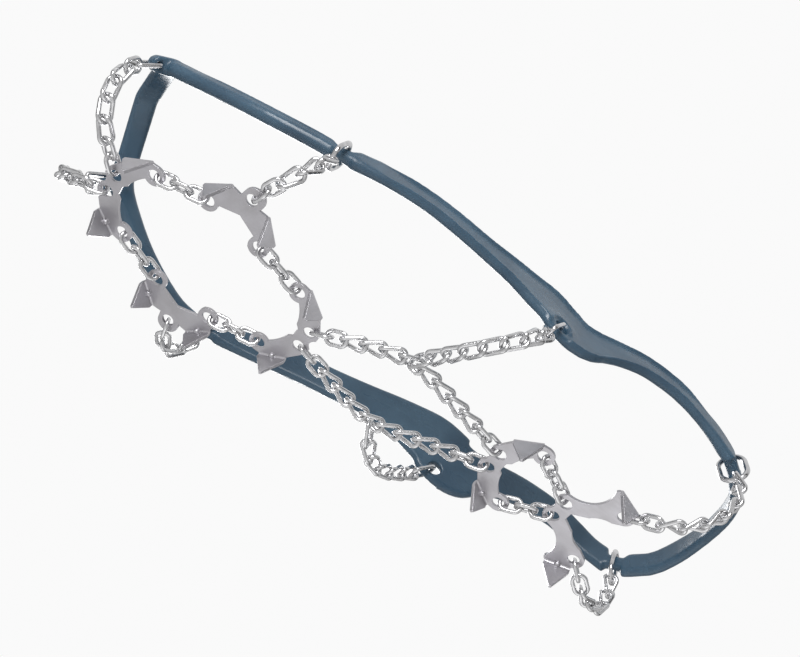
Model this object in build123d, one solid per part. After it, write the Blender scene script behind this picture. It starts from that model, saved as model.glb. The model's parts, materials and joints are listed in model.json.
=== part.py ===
"""Shoe ice cleats: an elastic harness that carries a chain net with six spiked plates.

The net is modelled in the shape that it has on a shoe, without the shoe.
X points to the toe, Y to the wearer's left, Z up.
The origin is the middle of the plane in which the sole bears on the plates.
"""

from build123d import *
from math import atan2, cos, degrees, radians, sin, tan
import os

# ---------------------------------------------------------------- driving dimensions, mm
SHEET = 1.2  # stainless sheet of the plates
HOLE_RADIUS = 2.4  # holes for the chain
LOBE_RADIUS = 4.1  # rounded metal around each hole
SPIKE_DEPTH = 12.0  # from the bearing plane to the tip
SPIKE_TIP = 0.9  # width of the blunted tip
BEND_RADIUS = 0.8  # inside radius of each folded edge
DIMPLE_RADIUS = 1.2  # pressed dimple that stiffens each fold

PLAIN_LENGTH = 8.25  # flat links, along the middle of the wire
PLAIN_WIDTH = 5.2
PLAIN_WIRE = 1.65
CURB_LENGTH = 10.0  # twisted links
CURB_WIDTH = 6.3
CURB_WIRE = 1.7
CURB_CORNER = 2.1
CURB_TWIST = 45.0  # each end is turned by this much, one way and the other
PLAY = 0.5  # gap between the wires of two links
HOLE_PLAY = 0.8  # gap between a wire and the edge of its hole

RING_LENGTH = 13.4  # rings that hold the straps
RING_WIDTH = 9.8
RING_WIRE = 2.0
BUCKLE_LENGTH = 9.0  # rectangular rings in the toe lugs
BUCKLE_WIDTH = 7.6
BUCKLE_WIRE = 1.7
BUCKLE_CORNER = 1.2

EYE_WIDTH = 7.2  # round links in the eyelets

PLATE_MIDDLE = -SHEET / 2
LINK_TILT = 60.0  # how far a link stands up from its plate under the sole
STRAND_TILT = 73.0  # the same for the first link of a side strand
EDGE_BEND = 19.0  # radius of a strand where it goes round the edge of the sole
HOOK_RISE = 0.3
JUNCTION_BEND = 25.0  # radius of the arch chains where a side strand pulls them sideways

# plates on the sole: middle, and heading of the plate's own X axis in degrees
PLATES = {
    "toe_plate": (103.3, 2.1, 3.6),
    "ball_left_plate": (62.8, 25.0, 0.4),
    "ball_right_plate": (66.7, -27.6, 10.3),
    "midfoot_plate": (25.8, -3.4, 185.0),
    "front_heel_plate": (-69.2, 2.5, 0.0),
    "rear_heel_plate": (-102.5, 1.6, 1.0),
}

# holes of each plate shape, in the plate's own frame
ARCH_HUB = (6.0, 4.1)
ARCH_ARM = (-6.0, 15.5)
HEEL_HUB = (9.0, 4.1)
HEEL_ARM = (-9.0, 15.5)
SIDE_FRONT = (12.2, -2.6)
SIDE_OUTER = (-1.0, 9.0)
SIDE_REAR = (-11.3, -6.3)

# harness: the strap's section at each station from the toe to the heel
#   height above the sole, section height, thickness, lean towards the shoe in degrees
PROFILE = [
    (48, 9, 4, 70),
    (46.5, 9, 4, 60),
    (41, 9, 4.5, 45),
    (33.5, 10, 5.5, 25),  # LUG
    (30.5, 8.5, 5.5, 15),
    (27, 8, 5.5, 10),
    (24, 8, 5.5, 8),
    (23.4, 8, 5.5, 5),
    (24.3, 8, 5.6, 5),  # BALL_GROOVE
    (29, 12.5, 4.2, 10),
    (32.3, 13.5, 3.8, 12),
    (33, 14, 3.8, 12),
    (34.5, 15, 3.8, 12),
    (36, 18.5, 3.8, 12),
    (36, 23, 3.8, 12),
    (35.5, 27, 3.8, 12),
    (32.5, 29.5, 3.8, 12),  # EYELET
    (31.7, 27, 3.8, 12),
    (35, 19, 3.8, 12),
    (38.8, 15.5, 3.8, 12),
    (42.5, 13.5, 3.8, 12),
    (43, 12.5, 3.8, 12),
    (39.5, 11, 3.8, 12),
    (35.5, 10.5, 4.5, 10),
    (31.5, 10.5, 5, 10),  # HEEL_GROOVE
    (32, 11, 4.5, 5),
    (36, 12.5, 4.2, 0),
    (38, 13, 4.2, -5),
]
LUG = 3
BALL_GROOVE = 8
EYELET = 16
HEEL_GROOVE = 24
# where the strap runs in plan, for the same stations
LEFT_PLAN = [
    (127, 7), (125, 19), (122, 29), (117.5, 36), (107, 40), (93, 45), (76, 50), (58, 53.5),
    (46.5, 54.5), (33, 55), (15, 55), (0, 54.3), (-15, 52), (-28, 50), (-38, 48.6), (-47, 47.8),
    (-55, 47), (-62, 46.7), (-70, 46.3), (-78, 46.3), (-90, 46.5), (-105, 46), (-118, 45),
    (-127, 44), (-136, 41), (-146, 31), (-151.5, 18), (-153.5, 4),
]
RIGHT_PLAN = [
    (127, 7), (125, -6), (121.5, -17), (117, -24.5), (107, -33), (93, -42.5), (76, -50.5),
    (66, -52.7), (56, -53.4), (40, -51.5), (15, -47), (0, -44), (-15, -41.5), (-28, -40.5),
    (-38, -40), (-47, -40), (-55, -40), (-62, -40), (-70, -40), (-78, -40), (-90, -40),
    (-105, -39.5), (-118, -38.5), (-127, -37), (-136, -32), (-146, -22), (-151.5, -10),
    (-153.5, 4),
]
GROOVE_WIDTH = 6.6
GROOVE_HEIGHT = 6.0
GROOVE_THICKNESS = 4.7
LUG_REACH = 6.6  # from the middle of the strap to the buckle's bore
LUG_PULL = (0.62, -0.78)  # which way the lug points, along X and Z
LUG_THICKNESS = 5.0
LUG_PLAY = 0.35  # gap around the buckle's bar
EYELET_DROP = 9.0  # from the middle of the strap to the eyelet
EYELET_RADIUS = 2.8
EYELET_PLAY = 0.9
EYE_SWING = 0.35  # how much of the strand's sideways slant the link in an eyelet follows
EYE_CORNER = 2.0

# strands: plate, its hole, the bend at the sole's edge, where it ends, links under the sole,
# links up the side of the shoe
STRANDS = {
    "toe_left": ("toe_plate", ARCH_HUB, (129, 36.5, -1), (1, LUG), 4, 3),
    "toe_right": ("toe_plate", (6.0, -4.1), (136.5, -10.5, -1), (-1, LUG), 4, 3),
    "ball_left": ("ball_left_plate", SIDE_OUTER, (51.5, 56.5, -1), (1, BALL_GROOVE), 3, 2),
    "ball_right": ("ball_right_plate", (-1.0, -9.0), (63, -56.5, -1), (-1, BALL_GROOVE), 3, 2),
    "heel_left": ("rear_heel_plate", HEEL_ARM, (-136, 40.5, -1), (1, HEEL_GROOVE), 5, 3),
    "heel_right": ("rear_heel_plate", (-9.0, -15.5), (-133, -31, -1), (-1, HEEL_GROOVE), 4, 3),
}
# the two lengthwise chains in the arch: hole in the midfoot plate, hole in the front heel plate,
# where the side strand hooks on and how its first link is rolled, then the side strand as above
ARCHES = {
    "arch_left": (
        (6.0, -4.1), ARCH_HUB, (-16.2, 19.2), 118, (-37, 46.5, -1), (1, EYELET), 5, 3
    ),
    "arch_right": (
        ARCH_HUB, (6.0, -4.1), (-18.4, -19.5), 62, (-30, -32.5, -1), (-1, EYELET), 3, 3
    ),
}
# plain links in threes between the plates: the plate and hole at each end
CONNECTORS = {
    "toe_ball_left": ("toe_plate", ARCH_ARM, "ball_left_plate", SIDE_FRONT),
    "toe_ball_right": ("toe_plate", (-6.0, -15.5), "ball_right_plate", (12.2, 2.6)),
    "ball_midfoot_left": ("ball_left_plate", SIDE_REAR, "midfoot_plate", (-6.0, -15.5)),
    "ball_midfoot_right": ("ball_right_plate", (-11.3, 6.3), "midfoot_plate", ARCH_ARM),
    "heel_left": ("front_heel_plate", ARCH_ARM, "rear_heel_plate", HEEL_HUB),
    "heel_right": ("front_heel_plate", (-6.0, -15.5), "rear_heel_plate", (9.0, -4.1)),
}


# ---------------------------------------------------------------- plates
def disc(centre, radius):
    """A round face on the ground plane."""
    return Pos(centre[0], centre[1]) * Circle(radius)


def web(*circles):
    """The stretched-band outline around several (centre, radius) discs."""
    edges = [edge for centre, radius in circles for edge in disc(centre, radius).edges()]
    return make_face(make_hull(edges).edges())


def spike(start, end, depth):
    """A triangular spike folded down along the line from start to end, outward to its left."""
    along = (Vector(*end) - Vector(*start)).normalized()
    outward = Vector(-along.Y, along.X)
    width = (Vector(*end) - Vector(*start)).length
    middle = (Vector(*start) + Vector(*end)) / 2
    fold_top = -SHEET - BEND_RADIUS
    fold = make_face(
        [
            CenterArc((0, fold_top), BEND_RADIUS, 0, 90),
            Line((0, -SHEET), (0, 0)),
            CenterArc((0, fold_top), BEND_RADIUS + SHEET, 0, 90),
            Line((BEND_RADIUS, fold_top), (BEND_RADIUS + SHEET, fold_top)),
        ]
    )
    folding = Plane(origin=Vector(*start), x_dir=outward, z_dir=along)
    bend = extrude(folding * fold, width)
    blade = make_face(
        Polyline(
            (-width / 2, 0),
            (-width / 2, -1.2),
            (-SPIKE_TIP / 2, -depth - fold_top),
            (SPIKE_TIP / 2, -depth - fold_top),
            (width / 2, -1.2),
            (width / 2, 0),
            close=True,
        )
    )
    standing = Plane(
        origin=middle + outward * (BEND_RADIUS + SHEET) + Vector(0, 0, fold_top),
        x_dir=-along,
        z_dir=outward,
    )
    triangle = extrude(standing * blade, -SHEET)
    return bend + triangle + pressed_dimple(middle, outward)


def pressed_dimple(middle, outward):
    """The round dimple pressed into the inside of a fold."""
    inset = BEND_RADIUS / 2
    centre = middle + outward * inset + Vector(0, 0, -SHEET - inset)
    return Pos(centre.X, centre.Y, centre.Z) * Sphere(DIMPLE_RADIUS)


def drilled(outline, holes):
    """The flat sheet of a plate: its outline with its holes, under the bearing plane."""
    for hole in holes:
        outline -= disc(hole, HOLE_RADIUS)
    return extrude(outline, -SHEET)


def mirrored(point):
    return (point[0], -point[1])


def arch_plate():
    """Four-hole plate with two hub holes, two arms and a spike on each arm's slanted edge."""
    fold_start = (5.1, 12.5)
    fold_end = (-3.8, 19.0)
    hub = web((ARCH_HUB, LOBE_RADIUS), (mirrored(ARCH_HUB), LOBE_RADIUS))
    arm = web((ARCH_HUB, LOBE_RADIUS), (fold_start, 0.4), (fold_end, 0.4), (ARCH_ARM, LOBE_RADIUS))
    outline = hub + arm + mirror(arm, about=Plane.XZ)
    outline -= disc((-17.3, 0), 18.1)
    outline -= disc((12.0, 0), 3.4)
    outline += disc(ARCH_ARM, LOBE_RADIUS) + disc(mirrored(ARCH_ARM), LOBE_RADIUS)
    sheet = drilled(outline, [ARCH_HUB, mirrored(ARCH_HUB), ARCH_ARM, mirrored(ARCH_ARM)])
    left_spike = spike(fold_end, fold_start, SPIKE_DEPTH)
    return sheet + left_spike + mirror(left_spike, about=Plane.XZ)


def ball_plate():
    """Three-hole plate under the ball of the foot, with a spike at each end."""
    core = (1.0, 4.0)
    outer_lobe = (-1.6, 9.8)
    front_fold = ((6.7, 8.3), (14.9, 1.8))
    rear_fold = ((-14.9, -1.9), (-8.4, 6.5))
    front = web(
        (SIDE_FRONT, LOBE_RADIUS), (front_fold[0], 0.4), (front_fold[1], 0.4), (core, 3.4)
    )
    rear = web(
        (SIDE_REAR, LOBE_RADIUS), (rear_fold[0], 0.4), (rear_fold[1], 0.4), (core, 3.4)
    )
    outline = front + rear + web((core, 3.4), (outer_lobe, 4.4))
    inner_edge = Polyline((10.5, -2.3), (0, 0.6), (-9.0, -4.0), (-6, -14), (8, -14), close=True)
    outline -= make_face(inner_edge)
    outline += disc(SIDE_FRONT, LOBE_RADIUS) + disc(SIDE_REAR, LOBE_RADIUS)
    sheet = drilled(outline, [SIDE_FRONT, SIDE_OUTER, SIDE_REAR])
    front_spike = spike(front_fold[0], front_fold[1], SPIKE_DEPTH)
    rear_spike = spike(rear_fold[0], rear_fold[1], SPIKE_DEPTH)
    return sheet + front_spike + rear_spike


def heel_plate():
    """Four-hole plate whose long arms flare towards the spikes at their ends."""
    fold_start = (-1.0, 23.4)
    fold_end = (-10.6, 19.4)
    arm = web((HEEL_HUB, LOBE_RADIUS), (fold_start, 0.4), (fold_end, 0.4), (HEEL_ARM, LOBE_RADIUS))
    arm -= disc((9.8, 18.9), 10.6)
    outline = arm + mirror(arm, about=Plane.XZ)
    outline += web((HEEL_HUB, LOBE_RADIUS), (mirrored(HEEL_HUB), LOBE_RADIUS))
    outline -= disc((-9.1, 0), 10.0)
    outline -= disc((15.0, 0), 3.4)
    outline += disc(HEEL_ARM, LOBE_RADIUS) + disc(mirrored(HEEL_ARM), LOBE_RADIUS)
    sheet = drilled(outline, [HEEL_HUB, mirrored(HEEL_HUB), HEEL_ARM, mirrored(HEEL_ARM)])
    left_spike = spike(fold_end, fold_start, SPIKE_DEPTH + 1)
    return sheet + left_spike + mirror(left_spike, about=Plane.XZ)


def placed_plate(name, shape):
    """A plate shape at its place on the sole."""
    x, y, heading = PLATES[name]
    return Pos(x, y) * Rot(0, 0, heading) * shape


def hole(plate, point):
    """Where a plate's hole lies on the sole, at half the depth of the sheet."""
    x, y, heading = PLATES[plate]
    turn = radians(heading)
    along = point[0] * cos(turn) - point[1] * sin(turn)
    across = point[0] * sin(turn) + point[1] * cos(turn)
    return Vector(x + along, y + across, PLATE_MIDDLE)


# ---------------------------------------------------------------- chain
def wire_loop(corners, corner_radius, wire):
    """A closed loop of round wire: straight runs joined by tangent arcs."""
    path = FilletPolyline(*corners, radius=corner_radius, close=True)
    loop = Part()
    for run in path.edges():
        section = Plane(origin=run @ 0, z_dir=run % 0) * Circle(wire / 2)
        loop += sweep(section, path=run)
    return loop


def link(length, width, wire, twist, corner_radius):
    """One link along X, lying flat, with its ends turned about X by twist each way."""
    half_width = width / 2
    out = half_width * cos(radians(twist))
    up = half_width * sin(radians(twist))
    corners = [
        (-length / 2, out, up),
        (-length / 2, -out, -up),
        (length / 2, -out, up),
        (length / 2, out, -up),
    ]
    return wire_loop(corners, corner_radius, wire)


PLAIN = ("plain", PLAIN_LENGTH, PLAIN_WIRE)
CURB = ("curb", CURB_LENGTH, CURB_WIRE)
LEFT_CURB = ("left_curb", CURB_LENGTH, CURB_WIRE)
EYE = ("eye", CURB_LENGTH, CURB_WIRE)
SHAPES = {
    "plain": link(PLAIN_LENGTH, PLAIN_WIDTH, PLAIN_WIRE, 0, PLAIN_WIDTH / 2 - 0.05),
    "curb": link(CURB_LENGTH, CURB_WIDTH, CURB_WIRE, CURB_TWIST, CURB_CORNER),
    "left_curb": link(CURB_LENGTH, CURB_WIDTH, CURB_WIRE, -CURB_TWIST, CURB_CORNER),
    "eye": link(CURB_LENGTH, EYE_WIDTH, CURB_WIRE, 0, EYE_CORNER),
    "ring": link(RING_LENGTH, RING_WIDTH, RING_WIRE, 0, RING_WIDTH / 2 - 0.3),
    "buckle": link(BUCKLE_LENGTH, BUCKLE_WIDTH, BUCKLE_WIRE, 0, BUCKLE_CORNER),
}


def placed(kind, middle, along, face):
    """A link shape with its length along one direction and its face square to another."""
    return Plane(origin=middle, x_dir=along, z_dir=face).location * SHAPES[kind]


def stretches(kinds):
    """Where each link's two end wires lie along a taut run, and the run's whole length."""
    spans = []
    here = 0.0
    for number, (_, length, wire) in enumerate(kinds):
        if number > 0:
            here -= (kinds[number - 1][2] + wire) / 2 + PLAY
        spans.append((here, here + length))
        here += length
    return spans, here


def evenly(first, last, count):
    """Rolls that go evenly from the first to the last of a run of links."""
    return [first + (last - first) * number / max(count - 1, 1) for number in range(count)]


def chain(path, kinds, rolls, face_of):
    """Links along a path, which runs from the first link's end wire to the last one's.

    face_of gives the direction that faces away from the shoe. A roll of 0 lies flat on the shoe.
    """
    spans, taut = stretches(kinds)
    links = []
    for (kind, _, _), (rear_at, front_at), roll in zip(kinds, spans, rolls):
        rear = path @ (rear_at / taut)
        front = path @ (front_at / taut)
        along = (front - rear).normalized()
        flat = face_of(along)
        face = flat * cos(radians(roll)) + along.cross(flat) * sin(radians(roll))
        links.append(placed(kind, (rear + front) / 2, along, face))
    return links


def under_sole(along):
    """Under the sole the net faces straight down."""
    return Vector(0, 0, -1)


def end_wire(wire):
    """How far a taut link's end wire lies from the middle of its hole."""
    return HOLE_RADIUS - HOLE_PLAY - wire / 2


def plate_link(start_plate, start_hole, end_plate, end_hole):
    """The three plain links between holes of two plates."""
    start = hole(start_plate, start_hole)
    end = hole(end_plate, end_hole)
    along = (end - start).normalized()
    inset = along * end_wire(PLAIN_WIRE)
    path = Line(start + inset, end - inset)
    rolls = [-LINK_TILT, 90 - LINK_TILT, -LINK_TILT]
    return chain(path, [PLAIN] * 3, rolls, under_sole)


# ---------------------------------------------------------------- strands
def rounded(start, bend, end):
    """Two straight legs joined by an arc that is never longer than the legs allow."""
    first = bend - start
    second = end - bend
    turn = radians(first.get_angle(second))
    room = 0.95 * min(first.length, second.length) / tan(turn / 2)
    return FilletPolyline(start, bend, end, radius=min(EDGE_BEND, room))


def bent_run(start, corner, end, kinds):
    """A run round the sole's edge, its bend moved in or out until the links just fit."""
    taut = stretches(kinds)[1]
    middle = (start + end) / 2
    low, high = 0.3, 2.0
    for _ in range(24):
        share = (low + high) / 2
        bend = middle + (corner - middle) * share
        path = rounded(start, bend, end)
        if path.length < taut:
            low = share
        else:
            high = share
    return path, bend


def strap_frame(side, station):
    """Middle, tangent, outward and upward directions of the strap at a station."""
    points = strap_points(side)
    before = points[max(station - 1, 0)]
    after = points[min(station + 1, len(points) - 1)]
    along = (after - before).normalized()
    if station in (0, len(points) - 1):
        along = Vector(0, side if station == 0 else -side, 0)
    return points[station], *upright(side, along, PROFILE[station][3])


def strap_points(side):
    """Middle of the strap at every station."""
    plan = LEFT_PLAN if side > 0 else RIGHT_PLAN
    return [Vector(x, y, profile[0]) for (x, y), profile in zip(plan, PROFILE)]


def upright(side, along, lean):
    """Tangent, outward and upward directions of a strap that leans towards the shoe."""
    out = Vector(along.Y, -along.X, 0).normalized() * side
    tall = Vector(0, 0, cos(radians(lean))) - out * sin(radians(lean))
    tall = (tall - along * tall.dot(along)).normalized()
    out = (out - along * out.dot(along) - tall * out.dot(tall)).normalized()
    return along, out, tall


def between(values, station, share):
    """A value on the smooth curve through all stations, part of the way to the next one."""
    start = values[station]
    end = values[station + 1]
    leaving = (end - values[max(station - 1, 0)]) * 0.5
    arriving = (values[min(station + 2, len(values) - 1)] - start) * 0.5
    square = share * share
    cube = square * share
    return (
        start * (2 * cube - 3 * square + 1)
        + leaving * (cube - 2 * square + share)
        + end * (3 * square - 2 * cube)
        + arriving * (cube - square)
    )


def fixing(side, station, bend):
    """Where a strand's last wire goes when it hangs towards a bend, and the terminal link."""
    middle, along, out, tall = strap_frame(side, station)
    if station == LUG:
        bore, bar = lug_bore(side)
        pull = bend - bore
        pull = (pull - bar * pull.dot(bar)).normalized()
        reach = BUCKLE_LENGTH - (BUCKLE_WIRE + PLAIN_WIRE) / 2 - PLAY
        normal = bar.cross(pull)
        terminal = placed("buckle", bore + pull * BUCKLE_LENGTH / 2, pull, normal)
        return bore + pull * reach, terminal, normal
    if station == EYELET:
        eye = middle - tall * EYELET_DROP
        pull = bend - eye
        pull = (pull - out * pull.dot(out) * (1 - EYE_SWING)).normalized()
        top = eye + pull * (EYELET_RADIUS - EYELET_PLAY - CURB_WIRE / 2)
        reach = CURB_LENGTH - CURB_WIRE - PLAY
        normal = out.cross(pull)
        terminal = placed("eye", top + pull * CURB_LENGTH / 2, pull, normal)
        return top + pull * reach, terminal, normal
    pull = (bend - middle).normalized()
    top = middle - pull * (GROOVE_HEIGHT / 2 + RING_WIRE / 2 + PLAY)
    reach = RING_LENGTH - (RING_WIRE + CURB_WIRE) / 2 - PLAY
    normal = along - pull * along.dot(pull)
    terminal = placed("ring", top + pull * RING_LENGTH / 2, pull, normal)
    return top + pull * reach, terminal, normal


def lug_bore(side):
    """Middle and direction of the bore that a buckle's bar turns in."""
    middle, along, out, tall = strap_frame(side, LUG)
    drop = (LUG_PULL[0] * Vector(1, 0, 0) + Vector(0, 0, LUG_PULL[1])).normalized()
    drop = (drop - out * drop.dot(out)).normalized()
    return middle + drop * LUG_REACH, out.cross(drop)


def fitted(side, station, start, corner, kinds):
    """Path, start and terminal link of a strand that hangs straight out of its terminal."""
    bend = corner
    for _ in range(3):
        end, terminal, normal = fixing(side, station, bend)
        path, bend = bent_run(start, corner, end, kinds)
    face_of = away_from(start, corner, end)
    along = path % 1
    flat = face_of(along)
    last_roll = degrees(atan2(normal.dot(flat), normal.dot(flat.cross(along))))
    along = path % 0
    flat = face_of(along)
    first_roll = degrees(atan2(-along.cross(flat).Z, -flat.Z))
    return path, face_of, first_roll, last_roll % 180, terminal


def away_from(start, corner, end):
    """For a run round the sole's edge: the direction that faces away from the shoe."""
    axis = (corner - start).cross(end - corner).normalized()
    return lambda along: along.cross(axis).normalized()


def end_rolls(first, last_roll, kinds):
    """Rolls of a run's links, so that the last wire lies at last_roll in its terminal."""
    if kinds[-1] is PLAIN:
        return evenly(first, last_roll - CURB_TWIST, len(kinds) - 1) + [last_roll]
    if kinds[-1] is LEFT_CURB:
        return evenly(first, (last_roll - CURB_TWIST) % 180 - 180, len(kinds))
    if last_roll > 90:
        last_roll -= 180
    return evenly(first, last_roll + CURB_TWIST, len(kinds))


def side_strand(name):
    """The links of a strand from a plate to the harness, and the terminal link."""
    plate, point, corner, (side, station), under, up = STRANDS[name]
    corner = Vector(*corner)
    start = hole(plate, point)
    start += (corner - start).normalized() * end_wire(PLAIN_WIRE)
    hand = -1 if name == "ball_left" else 1
    kinds = [PLAIN, PLAIN] + [CURB if hand > 0 else LEFT_CURB] * (under + up - 2)
    if station == LUG:
        kinds[-1] = PLAIN
    path, face_of, first_roll, last_roll, terminal = fitted(side, station, start, corner, kinds)
    tilt = first_roll + hand * STRAND_TILT
    rolls = [tilt, tilt - hand * 90]
    rolls += end_rolls(tilt - hand * CURB_TWIST, last_roll, kinds[2:])
    links = chain(path, kinds, rolls, face_of)
    return links[:under], links[under:], terminal


def arch_strand(name):
    """The lengthwise chain in the arch in two halves, and its side strand."""
    front, rear, junction, hook_roll, corner, (side, station), under, up = ARCHES[name]
    start = hole("midfoot_plate", front)
    finish = hole("front_heel_plate", rear)
    junction = Vector(*junction, PLATE_MIDDLE)
    start += (junction - start).normalized() * end_wire(PLAIN_WIRE)
    finish += (junction - finish).normalized() * end_wire(PLAIN_WIRE)
    kinds = [PLAIN] * 2 + [CURB] * 8 + [PLAIN] * 2
    rolls = [LINK_TILT, LINK_TILT - 90] + [0] * 8 + [90 - LINK_TILT, -LINK_TILT]
    path = FilletPolyline(start, junction, finish, radius=JUNCTION_BEND)
    main = chain(path, kinds, rolls, under_sole)
    spans, taut = stretches(kinds)
    hooked = (path @ (spans[5][0] / taut) + path @ (spans[5][1] / taut)) / 2

    corner = Vector(*corner)
    hook = hooked + Vector(0, 0, side * HOOK_RISE)
    kinds = [EYE] + [CURB] * (under + up - 1)
    path, face_of, _, last_roll, terminal = fitted(side, station, hook, corner, kinds)
    second_roll = hook_roll - 90 - CURB_TWIST
    if second_roll < -60:
        second_roll += 180
    rolls = [hook_roll] + end_rolls(second_roll, last_roll, kinds[1:])
    branch = chain(path, kinds, rolls, face_of)
    return main[:6], main[6:], branch[:under], branch[under:], terminal


# ---------------------------------------------------------------- harness
def section(middle, out, tall, height, thickness):
    """An eight-sided section of the strap."""
    corner = 0.3 * thickness
    half_height = height / 2
    half_thickness = thickness / 2
    corners = [
        (half_thickness - corner, half_height),
        (half_thickness, half_height - corner),
        (half_thickness, corner - half_height),
        (half_thickness - corner, -half_height),
        (corner - half_thickness, -half_height),
        (-half_thickness, corner - half_height),
        (-half_thickness, half_height - corner),
        (corner - half_thickness, half_height),
    ]
    return make_face(Polyline(*[middle + out * a + tall * b for a, b in corners], close=True))


def strap_sections(side):
    """All sections of one side of the strap, with a narrow waist in each groove."""
    sections = []
    grooves = (BALL_GROOVE, HEEL_GROOVE)
    half = GROOVE_WIDTH / 2
    for station, (_, height, thickness, _) in enumerate(PROFILE):
        middle, along, out, tall = strap_frame(side, station)
        if station in grooves:
            for offset in (-half - 1, -half, half, half + 1):
                waist = abs(offset) <= half
                sections.append(
                    section(
                        middle + along * offset,
                        out,
                        tall,
                        GROOVE_HEIGHT if waist else height,
                        GROOVE_THICKNESS if waist else thickness,
                    )
                )
        else:
            sections.append(section(middle, out, tall, height, thickness))
        if station == len(PROFILE) - 1:
            continue
        beside_groove = station in grooves or station + 1 in grooves
        for share in (1 / 2,) if beside_groove else (1 / 3, 2 / 3):
            sections.append(section_between(side, station, share))
    return sections


def section_between(side, station, share):
    """A section of the strap part of the way from one station to the next."""
    points = strap_points(side)
    step = 0.01
    middle = between(points, station, share)
    along = (between(points, station, share + step) - middle).normalized()
    height, thickness, lean = (
        between([profile[column] for profile in PROFILE], station, share)
        for column in (1, 2, 3)
    )
    _, out, tall = upright(side, along, lean)
    return section(middle, out, tall, height, thickness)


def lug(side):
    """The block under the strap at the toe that the buckle's bar turns in, and its bore."""
    middle = strap_frame(side, LUG)[0]
    centre, bar = lug_bore(side)
    drop = (centre - middle).normalized()
    across = Plane(origin=middle - bar * LUG_THICKNESS / 2, x_dir=drop, z_dir=bar)
    block = extrude(across * web(((0, 0), 3.4), ((LUG_REACH, 0), 3.2)), LUG_THICKNESS)
    bore = extrude(across * disc((LUG_REACH, 0), BUCKLE_WIRE / 2 + LUG_PLAY), LUG_THICKNESS)
    return block, bore


def eyelet(side):
    """The hole through the lobe beside the arch."""
    middle, along, out, tall = strap_frame(side, EYELET)
    across = Plane(origin=middle - tall * EYELET_DROP - out * 5, z_dir=out)
    return extrude(across * Circle(EYELET_RADIUS), 10)


def harness():
    """The elastic strap all round the shoe, with its lugs, grooves and eyelets."""
    band = loft(strap_sections(1), ruled=True) + loft(strap_sections(-1), ruled=True)
    for side in (1, -1):
        block, bore = lug(side)
        band = band + block - bore
    return band - eyelet(1) - eyelet(-1)


# ---------------------------------------------------------------- the part
PLATE_SHAPES = {
    "toe_plate": arch_plate,
    "ball_left_plate": ball_plate,
    "ball_right_plate": lambda: mirror(ball_plate(), about=Plane.XZ),
    "midfoot_plate": arch_plate,
    "front_heel_plate": arch_plate,
    "rear_heel_plate": heel_plate,
}


def subparts():
    """Every separate piece of the cleats by name."""
    pieces = {"harness": harness()}
    for name, shape in PLATE_SHAPES.items():
        pieces[name] = placed_plate(name, shape())
    for name, ends in CONNECTORS.items():
        for place, piece in zip(("front", "middle", "rear"), plate_link(*ends)):
            pieces[f"{name}_link_{place}"] = piece
    for name in STRANDS:
        lower, upper, terminal = side_strand(name)
        pieces[f"{name}_chain_lower"] = Compound(children=lower)
        pieces[f"{name}_chain_upper"] = Compound(children=upper)
        pieces[f"{name}_ring"] = terminal
    for name in ARCHES:
        front, rear, lower, upper, terminal = arch_strand(name)
        pieces[f"{name}_chain_front"] = Compound(children=front)
        pieces[f"{name}_chain_rear"] = Compound(children=rear)
        pieces[f"{name}_side_chain_lower"] = Compound(children=lower)
        pieces[f"{name}_side_chain_upper"] = Compound(children=upper)
        pieces[f"{name}_ring"] = terminal
    return pieces


if __name__ == "__main__":
    os.makedirs("parts", exist_ok=True)
    for name, piece in subparts().items():
        export_step(piece, f"parts/{name}.step")
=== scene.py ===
import json
import math

import bpy
import numpy as np
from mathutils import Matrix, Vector


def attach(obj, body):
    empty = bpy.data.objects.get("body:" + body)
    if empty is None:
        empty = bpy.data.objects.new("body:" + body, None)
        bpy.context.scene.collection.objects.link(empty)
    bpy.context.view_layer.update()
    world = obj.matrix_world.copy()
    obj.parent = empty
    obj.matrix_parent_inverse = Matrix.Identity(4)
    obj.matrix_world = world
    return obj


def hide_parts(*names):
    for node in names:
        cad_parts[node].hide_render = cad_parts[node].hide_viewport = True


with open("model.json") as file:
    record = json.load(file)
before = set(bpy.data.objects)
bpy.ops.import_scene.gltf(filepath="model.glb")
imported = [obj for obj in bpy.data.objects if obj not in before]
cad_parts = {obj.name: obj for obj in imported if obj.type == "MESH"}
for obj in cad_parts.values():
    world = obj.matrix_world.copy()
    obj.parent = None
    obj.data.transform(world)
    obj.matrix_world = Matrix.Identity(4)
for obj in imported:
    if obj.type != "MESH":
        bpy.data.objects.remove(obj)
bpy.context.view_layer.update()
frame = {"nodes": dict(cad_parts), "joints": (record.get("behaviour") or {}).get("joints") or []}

MM = 0.001

# the harness's skin
VOXEL = 0.55 * MM
SIDE_FROM = 20 * MM  # from the middle plane to where a side of the harness starts
OUTWARD_FROM = 0.35  # share of a normal that points outwards, from none to all of a relief
OUTWARD_TO = 0.75
SMOOTHING_PASSES = 14
BORDER_FROM_EDGE = 1.7 * MM
BORDER_HALF_WIDTH = 0.85 * MM
BORDER_HEIGHT = 0.65 * MM
PANEL_DEPTH = 0.35 * MM
BAND_FRONT = 34 * MM
BAND_REAR = -122 * MM
BAND_FADE = 16 * MM
SEAM_HEIGHT = 0.28 * MM
SEAM_FROM_EDGE = 2.4 * MM
SEAM_HALF_WIDTH = 0.7 * MM
SEAM_RISE = (25 * MM, 60 * MM)
SEAM_FALL = (95 * MM, 108 * MM)
EYELET_RIM_RADIUS = 4.6 * MM
EYELET_RIM_HALF_WIDTH = 1.1 * MM
EYELET_RIM_HEIGHT = 0.8 * MM
RING_DENT_HALF_WIDTH = 4.0 * MM  # the plain, slightly sunk patch that the ring lies on
RING_DENT_FADE = 2.0 * MM
RING_DENT_DEPTH = 0.35 * MM
EYELET_PLAIN = (1.2 * MM, 5.0 * MM)  # outside the rim, where the sunk panel starts and is full
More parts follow.
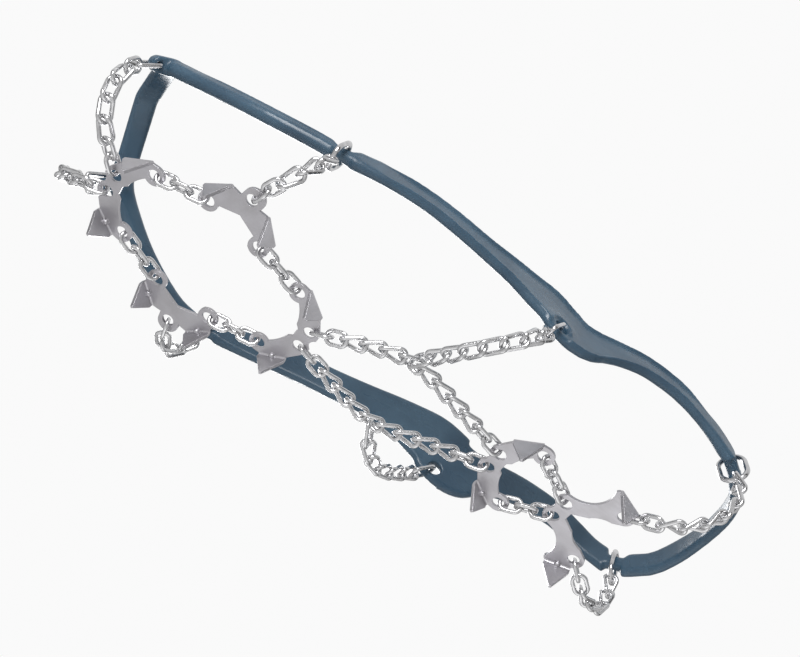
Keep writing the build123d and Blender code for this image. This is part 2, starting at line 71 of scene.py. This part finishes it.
EYELET_ABOVE_WIRE = 1.0 * MM  # from the wire that hangs in it to the eyelet's middle

# the stage
FLOOR_HALF_WIDTH = 40.0
FLOOR_HEIGHT = -0.95
BACKDROP_GREY = 0.955
CAMERA_PLACE = (0.0038, 0.2674, -0.3104)
CAMERA_TURN = (147.18, -20.16, 149.50)

nodes = frame["nodes"]
joint_places = {joint["name"]: Vector(joint["pos_m"]) for joint in frame["joints"]}


# ---------------------------------------------------------------- node helpers
def add_node(tree, kind, inputs=None, **settings):
    """A shader node with its settings, and its inputs given as values or as other outputs."""
    node = tree.nodes.new(kind)
    for name, value in settings.items():
        setattr(node, name, value)
    for name, value in (inputs or {}).items():
        if isinstance(value, bpy.types.NodeSocket):
            tree.links.new(value, node.inputs[name])
        else:
            node.inputs[name].default_value = value
    return node


def noise(tree, scale, detail=3.0, stretch=(1.0, 1.0, 1.0)):
    """A noise value over object space, per metre, stretched along an axis by a small number."""
    place = add_node(tree, "ShaderNodeTexCoord").outputs["Object"]
    mapping = add_node(tree, "ShaderNodeMapping", {"Vector": place, "Scale": stretch})
    texture = add_node(
        tree,
        "ShaderNodeTexNoise",
        {"Vector": mapping.outputs["Vector"], "Scale": scale, "Detail": detail},
    )
    return texture.outputs["Fac"]


def ranged(tree, value, low, high, from_low=0.35, from_high=0.65):
    """A value spread from low to high."""
    node = add_node(
        tree,
        "ShaderNodeMapRange",
        {
            "Value": value,
            "From Min": from_low,
            "From Max": from_high,
            "To Min": low,
            "To Max": high,
        },
    )
    return node.outputs["Result"]


def mixed_colour(tree, factor, first, second):
    """A colour between two others."""
    node = add_node(tree, "ShaderNodeMix", data_type="RGBA")
    tree.links.new(factor, node.inputs["Factor"])
    node.inputs[6].default_value = (*first, 1)
    node.inputs[7].default_value = (*second, 1)
    return node.outputs[2]


def bumped(tree, height, distance, strength, normal=None):
    """A surface normal roughened by a height, in metres."""
    inputs = {"Height": height, "Distance": distance, "Strength": strength}
    if normal is not None:
        inputs["Normal"] = normal
    return add_node(tree, "ShaderNodeBump", inputs).outputs["Normal"]


def new_material(name):
    """A new material, with its node tree and its shader."""
    material = bpy.data.materials.new(name)
    material.use_nodes = True
    tree = material.node_tree
    return material, tree, tree.nodes["Principled BSDF"]


# ---------------------------------------------------------------- materials
def elastomer_material():
    """Smoky blue-grey elastomer, slightly translucent, with a satin moulded skin."""
    material, tree, shader = new_material("elastomer")
    clouds = noise(tree, 45, 4)
    colour = mixed_colour(
        tree, ranged(tree, clouds, 0, 1), (0.032, 0.070, 0.112), (0.054, 0.106, 0.158)
    )
    grain = noise(tree, 2600, 2)
    flow = noise(tree, 120, 3, (0.3, 1, 1))
    tree.links.new(colour, shader.inputs["Base Color"])
    tree.links.new(ranged(tree, flow, 0.24, 0.38), shader.inputs["Roughness"])
    normal = bumped(tree, flow, 0.35 * MM, 0.35)
    normal = bumped(tree, grain, 0.03 * MM, 0.5, normal)
    tree.links.new(normal, shader.inputs["Normal"])
    shader.inputs["Subsurface Weight"].default_value = 0.25
    shader.inputs["Subsurface Radius"].default_value = (0.6, 0.9, 1.0)
    shader.inputs["Subsurface Scale"].default_value = 1.5 * MM
    shader.inputs["IOR"].default_value = 1.5
    return material


def plate_material():
    """Stamped stainless sheet: satin, finely brushed, with polished cut edges."""
    material, tree, shader = new_material("plate_steel")
    brushing = noise(tree, 2200, 3, (0.05, 1, 1))
    blotches = noise(tree, 90, 3)
    edge_normal = add_node(
        tree, "ShaderNodeBevel", {"Radius": 0.3 * MM}, samples=6
    ).outputs["Normal"]
    colour = mixed_colour(
        tree, ranged(tree, blotches, 0, 1), (0.50, 0.49, 0.51), (0.58, 0.57, 0.60)
    )
    roughness = ranged(tree, brushing, 0.34, 0.46)
    tree.links.new(colour, shader.inputs["Base Color"])
    tree.links.new(roughness, shader.inputs["Roughness"])
    normal = bumped(tree, brushing, 0.01 * MM, 0.4, edge_normal)
    normal = bumped(tree, blotches, 0.1 * MM, 0.12, normal)
    tree.links.new(normal, shader.inputs["Normal"])
    shader.inputs["Metallic"].default_value = 1.0
    return material


def chain_material():
    """Polished stainless wire with faint tumbling marks."""
    material, tree, shader = new_material("chain_steel")
    marks = noise(tree, 1400, 3)
    dents = noise(tree, 420, 3)
    colour = mixed_colour(
        tree, ranged(tree, dents, 0, 1), (0.60, 0.60, 0.61), (0.75, 0.75, 0.76)
    )
    tree.links.new(colour, shader.inputs["Base Color"])
    tree.links.new(ranged(tree, marks, 0.10, 0.24), shader.inputs["Roughness"])
    normal = bumped(tree, dents, 0.1 * MM, 0.5)
    tree.links.new(normal, shader.inputs["Normal"])
    shader.inputs["Metallic"].default_value = 1.0
    return material


# ---------------------------------------------------------------- the harness's skin
def remeshed(source, name):
    """An even, closed mesh over a CAD solid, with its edges rounded off as if moulded."""
    piece = bpy.data.objects.new(name, source.data.copy())
    bpy.context.scene.collection.objects.link(piece)
    even = piece.modifiers.new("even", "REMESH")
    even.mode = "VOXEL"
    even.voxel_size = VOXEL
    soften = piece.modifiers.new("soften", "SMOOTH")
    soften.factor = 0.5
    soften.iterations = SMOOTHING_PASSES
    depsgraph = bpy.context.evaluated_depsgraph_get()
    mesh = bpy.data.meshes.new_from_object(piece.evaluated_get(depsgraph))
    piece.modifiers.clear()
    piece.data = mesh
    mesh.shade_smooth()
    return piece


def points_of(mesh):
    """A mesh's points and their normals, a row each."""
    places = np.zeros(len(mesh.vertices) * 3, np.float32)
    normals = np.zeros(len(mesh.vertices) * 3, np.float32)
    mesh.vertices.foreach_get("co", places)
    mesh.vertex_normals.foreach_get("vector", normals)
    return places.reshape(-1, 3).astype(float), normals.reshape(-1, 3).astype(float)


def smooth_step(value, low, high):
    """A smooth rise from 0 at low to 1 at high."""
    share = np.clip((value - low) / (high - low), 0, 1)
    return share * share * (3 - 2 * share)


def ridge(distance, half_width):
    """A rounded ridge: 1 on its line and 0 from half_width away."""
    share = np.clip(1 - (distance / half_width) ** 2, 0, 1)
    return share * share


def band_edges(places, chosen):
    """How far each chosen point is from the band's lower and upper edges, on one side."""
    step = 1.0 * MM
    along = places[:, 0]
    first = along[chosen].min()
    count = int((along[chosen].max() - first) / step) + 2
    station = ((along - first) / step).clip(0, count - 1)
    low = np.full(count, np.inf)
    high = np.full(count, -np.inf)
    index = station[chosen].astype(int)
    np.minimum.at(low, index, places[chosen, 2])
    np.maximum.at(high, index, places[chosen, 2])
    known = np.isfinite(low)
    stations = np.arange(count)
    window = np.ones(5) / 5
    outline = []
    for edge in (low, high):
        filled = np.interp(stations, stations[known], edge[known])
        padded = np.pad(filled, 2, mode="edge")
        outline.append(np.convolve(padded, window, mode="valid"))
    distances = []
    for edge, sign in zip(outline, (1, -1)):
        steepness = np.gradient(edge, step)
        height = np.interp(station, stations, edge)
        slope = np.interp(station, stations, steepness)
        distances.append(sign * (places[:, 2] - height) / np.sqrt(1 + slope**2))
    return distances


def harness_skin():
    """The moulded harness, with raised borders round its wide bands and rims round its eyelets."""
    skin = remeshed(nodes["harness"], "harness_skin")
    places, normals = points_of(skin.data)
    lift = np.zeros(len(places))
    for side, eyelet in ((1, "arch_left_ring_tilt"), (-1, "arch_right_ring_tilt")):
        chosen = side * places[:, 1] > SIDE_FROM
        outward = smooth_step(side * normals[:, 1], OUTWARD_FROM, OUTWARD_TO) * chosen
        lower, upper = band_edges(places, chosen)
        edge = np.minimum(lower, upper)
        along = places[:, 0]
        inside = smooth_step(along, BAND_REAR, BAND_REAR + BAND_FADE) * (
            1 - smooth_step(along, BAND_FRONT - BAND_FADE, BAND_FRONT)
        )
        border = ridge(edge - BORDER_FROM_EDGE, BORDER_HALF_WIDTH) * BORDER_HEIGHT
        panel = smooth_step(edge, BORDER_FROM_EDGE, BORDER_FROM_EDGE + BORDER_HALF_WIDTH)
        centre = joint_places[eyelet] + Vector((0, 0, EYELET_ABOVE_WIRE))
        radius = np.hypot(along - centre.x, places[:, 2] - centre.z)
        near = 1 - smooth_step(
            radius, EYELET_RIM_RADIUS + EYELET_PLAIN[0], EYELET_RIM_RADIUS + EYELET_PLAIN[1]
        )
        rim = ridge(radius - EYELET_RIM_RADIUS, EYELET_RIM_HALF_WIDTH) * EYELET_RIM_HEIGHT
        beside = np.abs(along - centre.x)
        dent = 1 - smooth_step(
            beside, RING_DENT_HALF_WIDTH, RING_DENT_HALF_WIDTH + RING_DENT_FADE
        )
        dent *= 1 - smooth_step(places[:, 2] - centre.z, -RING_DENT_FADE, 0)
        dent *= near
        lift += outward * np.maximum(inside * border, rim) * (1 - dent)
        lift -= outward * RING_DENT_DEPTH * dent
        lift -= outward * inside * PANEL_DEPTH * panel * (1 - near)
        seam = ridge(upper - SEAM_FROM_EDGE, SEAM_HALF_WIDTH) * SEAM_HEIGHT
        seam *= smooth_step(along, *SEAM_RISE)
        lift += outward * seam * (1 - smooth_step(along, *SEAM_FALL))
    places += normals * lift[:, None]
    skin.data.vertices.foreach_set("co", places.astype(np.float32).ravel())
    skin.data.update()
    return skin


# ---------------------------------------------------------------- stage
def area_light(name, place, target, size, power):
    """A soft square light, aimed at a point and not seen itself."""
    data = bpy.data.lights.new(name, "AREA")
    data.size = size
    data.energy = power
    light = bpy.data.objects.new(name, data)
    light.location = place
    light.rotation_mode = "QUATERNION"
    light.rotation_quaternion = (Vector(target) - Vector(place)).to_track_quat("-Z", "Y")
    light.visible_camera = False
    bpy.context.scene.collection.objects.link(light)


def studio_world():
    """Pale all round to the eye; what lights the steel has a dark band at the horizon."""
    world = bpy.data.worlds.new("studio")
    bpy.context.scene.world = world
    world.use_nodes = True
    tree = world.node_tree
    tree.nodes.clear()
    direction = add_node(tree, "ShaderNodeTexCoord").outputs["Generated"]
    height = add_node(tree, "ShaderNodeSeparateXYZ", {"Vector": direction}).outputs["Z"]
    share = ranged(tree, height, 0, 1, -1, 1)
    ramp = add_node(tree, "ShaderNodeValToRGB", {"Fac": share})
    stops = ((0.0, 0.10), (0.30, 0.16), (0.42, 0.03), (0.55, 0.03), (0.66, 0.55), (1.0, 0.8))
    elements = ramp.color_ramp.elements
    while len(elements) < len(stops):
        elements.new(0.5)
    for element, (position, value) in zip(elements, stops):
        element.position = position
        element.color = (value, value, value, 1)
    lighting = add_node(tree, "ShaderNodeBackground", {"Color": ramp.outputs["Color"]})
    backdrop = add_node(tree, "ShaderNodeBackground", {"Color": (*[BACKDROP_GREY] * 3, 1)})
    seen = add_node(tree, "ShaderNodeLightPath").outputs["Is Camera Ray"]
    both = add_node(tree, "ShaderNodeMixShader")
    tree.links.new(seen, both.inputs[0])
    tree.links.new(lighting.outputs[0], both.inputs[1])
    tree.links.new(backdrop.outputs[0], both.inputs[2])
    output = add_node(tree, "ShaderNodeOutputWorld")
    tree.links.new(both.outputs[0], output.inputs["Surface"])


def floor():
    """A plain pale floor, well below the camera."""
    mesh = bpy.data.meshes.new("floor")
    turns = ((-1, -1), (1, -1), (1, 1), (-1, 1))
    corners = [
        (FLOOR_HALF_WIDTH * across, FLOOR_HALF_WIDTH * along, FLOOR_HEIGHT)
        for across, along in turns
    ]
    mesh.from_pydata(corners, [], [(0, 1, 2, 3)])
    ground = bpy.data.objects.new("floor", mesh)
    bpy.context.scene.collection.objects.link(ground)
    material, tree, shader = new_material("floor_paper")
    grain = ranged(tree, noise(tree, 60, 3), 0, 1)
    colour = mixed_colour(tree, grain, (0.80, 0.80, 0.80), (0.83, 0.83, 0.83))
    tree.links.new(colour, shader.inputs["Base Color"])
    shader.inputs["Roughness"].default_value = 0.9
    mesh.materials.append(material)


def camera():
    """The camera, at the photograph's viewing angle."""
    data = bpy.data.cameras.new("camera")
    data.lens = 50
    data.sensor_width = 36
    data.clip_start = 0.01
    holder = bpy.data.objects.new("camera", data)
    holder.location = CAMERA_PLACE
    holder.rotation_euler = [math.radians(angle) for angle in CAMERA_TURN]
    bpy.context.scene.collection.objects.link(holder)
    bpy.context.scene.camera = holder


# ---------------------------------------------------------------- assembly
def finish_steel():
    """Gives every plate, link and ring its steel."""
    plate_steel = plate_material()
    chain_steel = chain_material()
    for name, piece in nodes.items():
        if name == "harness":
            continue
        steel = plate_steel if name.endswith("_plate") else chain_steel
        piece.data.materials.clear()
        piece.data.materials.append(steel)


camera()
floor()
studio_world()
area_light("key", (0.35, 0.75, -0.10), (0, 0, 0), 0.35, 5.0)
area_light("low", (-0.42, -0.28, -0.80), (-0.05, 0, 0), 0.8, 1.1)
area_light("back", (0.1, -0.7, 0.5), (0, 0, 0), 0.5, 5.0)

finish_steel()
skin = harness_skin()
skin.data.materials.clear()
skin.data.materials.append(elastomer_material())
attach(skin, "harness")
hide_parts("harness")

bpy.context.scene.view_settings.view_transform = "Standard"
